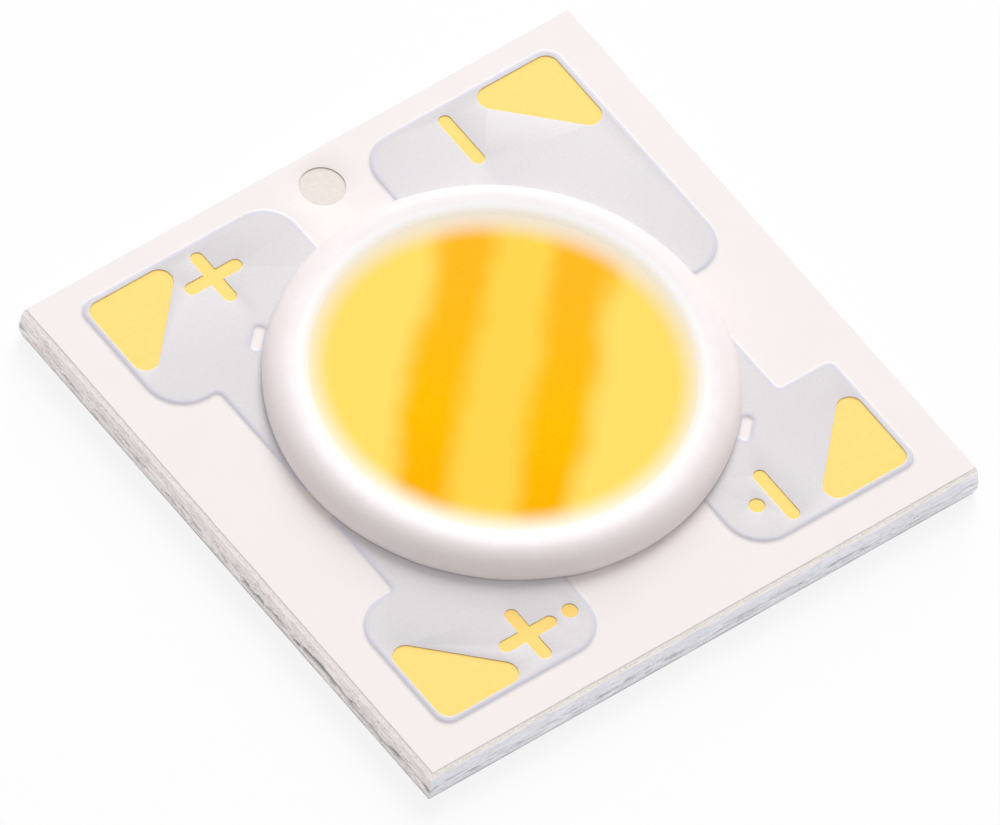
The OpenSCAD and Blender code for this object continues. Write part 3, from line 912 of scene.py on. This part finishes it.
# %% Dam material
SILICONE_LIGHT = colour(252, 246, 247)
SILICONE_DULL = colour(245, 237, 237)
FLANK_SHADE = colour(228, 215, 213)
SLUMP_PAINTED_LIGHT = colour(255, 254, 254)
FILL_CREAM = colour(255, 243, 220)
FOOT_SHADOW = colour(205, 196, 200)
CREVICE_SHADE = colour(140, 132, 138)

dam_paint, tree, shader = new_material("white_silicone", Roughness=0.32, Specular_IOR_Level=0.45)
mottle = add_grain(tree, 2.2, 3.0)
skin = add_grain(tree, 9.0, 3.0)
white = mix_colours(tree, share_of(tree, mottle.outputs["Grain"], 0.4), SILICONE_LIGHT,
                    SILICONE_DULL)
# Painted shade: the outer flank is darkened, as it faces away from the lamp.
white = mix_colours(tree, share_of(tree, mask_value(tree, "outer"), 0.42), white, FLANK_SHADE)
inner = mask_value(tree, "inner")
# Painted light: the slumped inner side is lightened, as if lit from the front.
white = mix_colours(tree, step_between(tree, inner, 0.0, 0.4), white, SLUMP_PAINTED_LIGHT)
creamy = share_of(tree, step_between(tree, inner, 0.5, 1.0), 0.7)
white = mix_colours(tree, creamy, white, FILL_CREAM)
foot = mask_value(tree, "foot")
# Painted shadow: the dam's foot is greyed where it meets the mask.
white = mix_colours(tree, share_of(tree, foot, 0.15), white, FOOT_SHADOW)
# Painted shade: a thin dark line in the crevice under the bulging foot, patchy with the mottle.
crevice_shade = maths(tree, "MULTIPLY", step_between(tree, foot, 0.80, 0.97),
                maths(tree, "MULTIPLY_ADD", mottle.outputs["Grain"], 0.35, 0.25))
white = mix_colours(tree, crevice_shade, white, CREVICE_SHADE)
tree.links.new(white, shader.inputs["Base Color"])
add_bump(tree, shader, skin.outputs["Height"], 0.006)
dam_bead.data.materials.append(dam_paint)

# %% [markdown]
# ## The phosphor stripes
#
# The light-emitting surface is silicone filled with phosphor powder: three stripes of a
# cool-white mix and, between them, two of a warm-white mix. They flow into each other, so
# the borders are soft, and the fill climbs the dam a little at its rim. Each stripe is its
# own piece, cut between two straight lines and the dam's circle, and all five share one
# shader group that knows where the stripes run, so the colours meet without a seam.

# %% Sizes of the fill
RIM_W = 0.60
RIM_R = 2.5
STRIPE_PITCH = 1.42
WARM_W = 1.30
STRIPE_ANGLE = 45.0
FILL_STEP = 0.07
FILL_CELLS = 130
FILL_LAP = 0.03
SEAM = 0.0005
SETTLE_H = 0.006
UNDER_GAP = 0.002

contact_r = DAM_R + CONTACT_X
fill_r = contact_r + FILL_LAP
rim_start = contact_r - RIM_W
rim_climb = RIM_R - sqrt(RIM_R ** 2 - RIM_W ** 2)
fill_h = DAM_H - SLUMP_CURVE * CONTACT_X ** 2 - rim_climb
print(f"fill: {fill_h:.3f} mm high, meets the dam at radius {contact_r:.2f}")


def fill_height(x, y):
    """Height of the fill's surface over the bare mask: flat, with a rim that climbs."""
    r = hypot(x, y)
    climb = 0.0 if r < rim_start else RIM_R - sqrt(RIM_R ** 2 - (r - rim_start) ** 2)
    settle = SETTLE_H * grain(x, y, 2.0, 0.45, 2)
    return fill_h + climb + settle * float(1 - smooth(3.4, 4.3, r))


def stripe_piece(name, low, high, slot):
    """One stripe of fill between two lines at low and high across the stripes."""
    low, high = max(low, SEAM - fill_r), min(high, fill_r - SEAM)
    rows = round((high - low) / FILL_STEP)
    cells = FILL_CELLS
    across = np.linspace(low, high, rows + 1)
    tilt_x, tilt_y = cos(radians(STRIPE_ANGLE)), sin(radians(STRIPE_ANGLE))
    top, under = [], []
    for v in across:
        reach = sqrt(fill_r ** 2 - v * v)
        for k in range(cells + 1):
            u = reach * sin(pi / 2 * (2 * k / cells - 1))
            x, y = u * tilt_x - v * tilt_y, u * tilt_y + v * tilt_x
            top.append((x, y, bare_top + fill_height(x, y)))
            under.append((x, y, base_top + UNDER_GAP))
    width = cells + 1
    count = len(top)
    faces = []
    for row in range(rows):
        for k in range(cells):
            a = row * width + k
            faces.append((a, a + 1, a + 1 + width, a + width))
            faces.append((count + a, count + a + width, count + a + 1 + width, count + a + 1))
    outline = ([k for k in range(cells)] + [r * width + cells for r in range(rows)]
               + [rows * width + k for k in range(cells, 0, -1)]
               + [r * width for r in range(rows, 0, -1)])
    for a, b in zip(outline, outline[1:] + outline[:1]):
        faces.append((b, a, count + a, count + b))
    return make_piece(name, top + under, faces,
                      [f"phosphor_{slot}_{name[-1]}"], None, 40)


inner_line = STRIPE_PITCH - WARM_W / 2
outer_line = STRIPE_PITCH + WARM_W / 2
stripes = [
    stripe_piece("cool_stripe_1", outer_line, fill_r, "cool"),
    stripe_piece("warm_stripe_2", inner_line, outer_line, "warm"),
    stripe_piece("cool_stripe_3", -inner_line, inner_line, "cool"),
    stripe_piece("warm_stripe_4", -outer_line, -inner_line, "warm"),
    stripe_piece("cool_stripe_5", -fill_r, -outer_line, "cool"),
]

# %% Shader group for the stripes' colours
BLEND_W = 0.40
RIM_OVAL = 1.043
RIM_FADE = (3.93, 4.76)
SWAY_SCALE = 0.45
SWAY_W = 0.8
COOL_MIDDLE = colour(255, 214, 82)
COOL_OUTER = colour(255, 223, 106)
WARM_MIDDLE = colour(255, 190, 0)
WARM_FAR = colour(255, 186, 36)
WARM_NEAR = colour(255, 180, 0)
RIM_CREAM = colour(255, 244, 228)
POWDER = colour(255, 226, 70)

stripe_group, entry, leave = new_group("Phosphor stripes", [], [("colour", "Colour")])
tree = stripe_group
spot = new_node(tree, "ShaderNodeGroup")
spot.node_tree = position_group
parts = new_node(tree, "ShaderNodeSeparateXYZ")
tree.links.new(spot.outputs["Position"], parts.inputs[0])
half_root = sqrt(0.5)
drift = new_node(tree, "ShaderNodeTexNoise", "slow drift")
drift.inputs["Scale"].default_value = SWAY_SCALE
drift.inputs["Detail"].default_value = 2.0
tree.links.new(spot.outputs["Position"], drift.inputs["Vector"])
sway = maths(tree, "MULTIPLY", maths(tree, "SUBTRACT", drift.outputs["Fac"], 0.5), SWAY_W)
x_mm, y_mm = parts.outputs["X"], parts.outputs["Y"]
along = maths(tree, "MULTIPLY", maths(tree, "ADD", x_mm, y_mm), half_root)
across = maths(tree, "MULTIPLY", maths(tree, "SUBTRACT", y_mm, x_mm), half_root)
from_middle = maths(tree, "ABSOLUTE", maths(tree, "ADD", across, sway))
from_warm = maths(tree, "ABSOLUTE", maths(tree, "SUBTRACT", from_middle, STRIPE_PITCH))
warm = maths(tree, "SUBTRACT", 1.0,
             step_between(tree, from_warm, WARM_W / 2 - BLEND_W, WARM_W / 2 + BLEND_W))
cool_shade = mix_colours(tree, step_between(tree, from_middle, 0.8, 2.4),
                         COOL_MIDDLE, COOL_OUTER)
far_end = step_between(tree, along, -2.0, 4.0)
near_end = maths(tree, "SUBTRACT", 1.0, step_between(tree, along, -4.0, -1.2))
warm_shade = mix_colours(tree, far_end, WARM_MIDDLE, WARM_FAR)
warm_shade = mix_colours(tree, near_end, warm_shade, WARM_NEAR)
fill_shade = mix_colours(tree, warm, cool_shade, warm_shade)
longer = maths(tree, "MULTIPLY", along, RIM_OVAL)
oval = maths(tree, "SQRT", maths(tree, "ADD", maths(tree, "MULTIPLY", longer, longer),
                                 maths(tree, "MULTIPLY", across, across)))
rim = step_between(tree, oval, *RIM_FADE)
fill_shade = mix_colours(tree, rim, fill_shade, RIM_CREAM)
tree.links.new(fill_shade, leave.inputs["Colour"])

# %% Phosphor materials
for stripe in stripes:
    kind = "cool" if "cool" in stripe.name else "warm"
    name = kind + "_phosphor"
    if name in bpy.data.materials:
        stripe.data.materials.append(bpy.data.materials[name])
        continue
    paint, tree, shader = new_material(name, Roughness=0.55, Specular_IOR_Level=0.0)
    painted = new_node(tree, "ShaderNodeGroup", "stripes")
    painted.node_tree = stripe_group
    powder = add_grain(tree, 11.0, 4.0)
    shade = mix_colours(tree, share_of(tree, powder.outputs["Grain"], 0.06),
                        painted.outputs["Colour"], POWDER)
    tree.links.new(shade, shader.inputs["Base Color"])
    add_bump(tree, shader, powder.outputs["Height"], 0.003)
    stripe.data.materials.append(paint)
print("stripes:", [s.name for s in stripes])

# %% [markdown]
# ## Finishes of the carried-over CAD pieces
#
# The gold pads and marks, the insulating layer, the copper, the chips and the wires keep
# their CAD meshes, because they are flat plates, blocks and plain wires. Each still gets a
# finish with grain and relief of its own, since pads and the bare spot are seen close up.

# %% Gold, laminate, copper, chips and wires
GOLD_LIGHT = colour(252, 217, 131)
GOLD_DEEP = colour(252, 212, 118)
LAMINATE_LIGHT = colour(237, 230, 223)
LAMINATE_DULL = colour(222, 214, 206)
CUT_SIDE_HIGHLIGHT = colour(255, 249, 245)
CUT_FACE_W = 0.2

gold_paint, tree, shader = new_material("immersion_gold", Metallic=0.9, Roughness=0.5)
ripple = add_grain(tree, 5.0, 4.0)
gold = mix_colours(tree, share_of(tree, ripple.outputs["Grain"], 0.3), GOLD_LIGHT, GOLD_DEEP)
tree.links.new(gold, shader.inputs["Base Color"])
add_bump(tree, shader, ripple.outputs["Height"], 0.004)

laminate_paint, tree, shader = new_material("filled_laminate", Roughness=0.6,
                                            Specular_IOR_Level=0.3)
filler = add_grain(tree, 14.0, 4.0)
laminate = mix_colours(tree, share_of(tree, filler.outputs["Grain"], 0.35), LAMINATE_LIGHT,
                       LAMINATE_DULL)
x_mm, y_mm, _ = add_axes(tree)
from_middle = maths(tree, "MAXIMUM", maths(tree, "ABSOLUTE", x_mm), maths(tree, "ABSOLUTE", y_mm))
# Painted highlight: near the board's side the laminate is painted almost white and partly metallic,
# so that its cut side reads as a bright edge.
near_side = step_between(tree, from_middle, half_side - CUT_FACE_W, half_side - CUT_FACE_W / 2)
patchy = maths(tree, "SUBTRACT", 1.0, share_of(tree, filler.outputs["Grain"], 0.5))
lit_cut_side = maths(tree, "MULTIPLY", near_side, patchy)
laminate = mix_colours(tree, lit_cut_side, laminate, CUT_SIDE_HIGHLIGHT)
tree.links.new(share_of(tree, lit_cut_side, 0.8), shader.inputs["Metallic"])
tree.links.new(laminate, shader.inputs["Base Color"])
add_bump(tree, shader, filler.outputs["Height"], 0.006)

plain_finishes = {
    "etched_copper": ((214, 150, 116), (190, 124, 92), 1.0, 0.4, 6.0),
    "sapphire_chip": ((150, 178, 205), (120, 150, 190), 0.0, 0.12, 8.0),
    "chip_adhesive": ((236, 236, 230), (222, 222, 216), 0.0, 0.35, 9.0),
    "gold_wire": ((250, 214, 120), (240, 196, 96), 1.0, 0.25, 30.0),
}
plain_paints = {}
for name, (light, dark, metallic, roughness, scale) in plain_finishes.items():
    paint, tree, shader = new_material(name, Metallic=metallic, Roughness=roughness)
    texture = add_grain(tree, scale, 3.0)
    shade = mix_colours(tree, texture.outputs["Grain"], colour(*light), colour(*dark))
    tree.links.new(shade, shader.inputs["Base Color"])
    add_bump(tree, shader, texture.outputs["Height"], 0.002)
    plain_paints[name] = paint

repaint("dielectric_layer", laminate_paint)
for q in quarters:
    repaint("pad_" + q, gold_paint)
    repaint("mark_" + q, gold_paint)
    repaint("trace_" + q, plain_paints["etched_copper"])
for row in range(1, 6):
    repaint(f"die_row_{row}", plain_paints["sapphire_chip"])
    repaint(f"die_attach_row_{row}", plain_paints["chip_adhesive"])
    repaint(f"bond_wires_row_{row}", plain_paints["gold_wire"])
print("materials:", len(bpy.data.materials))
